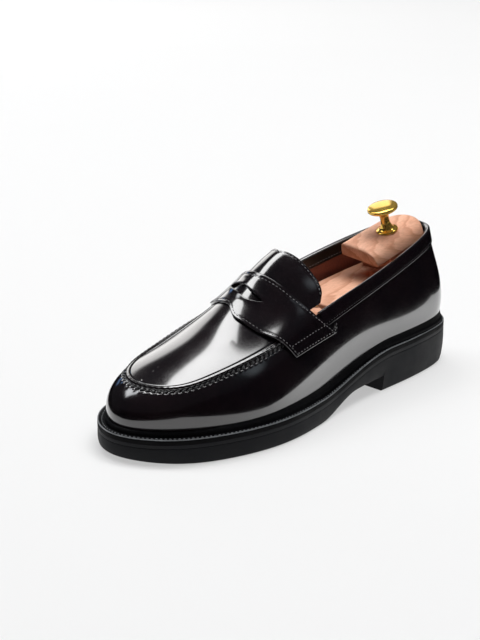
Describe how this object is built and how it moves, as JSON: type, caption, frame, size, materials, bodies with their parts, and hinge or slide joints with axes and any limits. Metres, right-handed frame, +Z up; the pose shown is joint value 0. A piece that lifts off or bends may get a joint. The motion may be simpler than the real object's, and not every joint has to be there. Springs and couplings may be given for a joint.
{
  "type": "penny loafer with shoe tree",
  "caption": "Black penny loafer with a saddle strap, raised apron seam, welted rubber sole and a sprung cedar shoe tree with a knob.",
  "frame": {"origin": "centre of the footprint on the ground, under the middle of the shoe", "axes": "+X to the outer side of the left foot, -Y to the toe, +Z up"},
  "size_m": [0.1075, 0.3, 0.1194],
  "materials": {
    "sole_rubber": "satin moulded rubber",
    "sole_edge": "edge-dyed leather",
    "welt_leather": "waxed black leather",
    "cork": "granulated cork",
    "shank_steel": "plain steel",
    "insole_leather": "vegetable-tanned leather",
    "lining_red": "matt lining leather",
    "upper_leather": "polished",
    "lining_tan": "matt lining leather",
    "stiffener": "stiffened board",
    "facing_black": "matt",
    "cedar": "sanded cedar",
    "pin_steel": "ground steel",
    "brass_tube": "drawn brass",
    "brass_knob": "polished brass"
  },
  "bodies": {
    "shoe": {"outsole": "sole_rubber", "midsole": "sole_edge", "welt": "welt_leather", "cork_filler": "cork", "shank": "shank_steel", "insole": "insole_leather", "sock_liner": "lining_red", "side_wrap": "upper_leather", "backstay": "upper_leather", "collar_band": "upper_leather", "apron": "upper_leather", "apron_bead": "upper_leather", "saddle_strap": "upper_leather", "toe_puff": "stiffener", "heel_counter": "stiffener", "vamp_lining": "lining_tan", "quarter_lining": "lining_red", "topline_facing": "facing_black", "forepart_main": "cedar", "guide_pin_rear": "pin_steel", "guide_pin_front": "pin_steel", "outer_tube": "brass_tube"},
    "tongue": {"tongue": "upper_leather", "tongue_lining": "lining_tan"},
    "tree_heel": {"inner_tube": "brass_tube", "slab": "cedar", "heel_block": "cedar", "knob_stud": "brass_tube", "knob": "brass_knob"},
    "tree_side": {"forepart_side": "cedar"}
  },
  "joints": [
    {"name": "tree_slide", "type": "slide", "parent": "shoe", "child": "tree_heel", "axis": [0, -0.9921, -0.1253], "range_m": [0, 0.008], "stiffness_N_per_m": 900},
    {"name": "forepart_squeeze", "type": "slide", "parent": "shoe", "child": "tree_side", "axis": [-1, 0, 0], "range_m": [0, 0.003], "stiffness_N_per_m": 1200},
    {"name": "tongue_lift", "type": "hinge", "parent": "shoe", "child": "tongue", "pos_m": [0, -0.027, 0.0932], "axis": [1, 0, 0], "range_deg": [0, 22], "stiffness_Nm_per_rad": 0.05}
  ]
}
